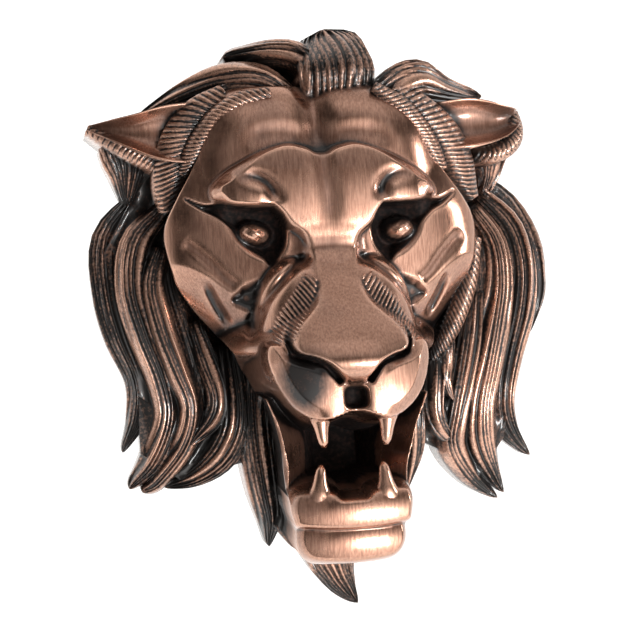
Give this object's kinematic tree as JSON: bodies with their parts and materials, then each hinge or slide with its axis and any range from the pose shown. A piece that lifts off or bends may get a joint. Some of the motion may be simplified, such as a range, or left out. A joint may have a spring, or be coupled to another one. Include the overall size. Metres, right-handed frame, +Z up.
{
  "type": "lion head wall mask",
  "caption": "Cast lion head wall mask with an open roaring mouth, swept mane and flat hollow back, in antique copper finish.",
  "frame": {"origin": "hanging point on the flat back, behind the crown, where the back meets the wall", "axes": "+Z up, +X to the right as seen from the front, -Y out of the wall towards the viewer, so the wall is the plane y = 0 and +Y goes into it"},
  "size_m": [0.272, 0.1225, 0.3321],
  "materials": {
    "antique_copper": "cast metal, copper plated, darkened in the hollows, rubbed bright on the ridges and lacquered"
  },
  "bodies": {
    "root": {"lion_mask": "antique_copper"}
  },
  "joints": []
}
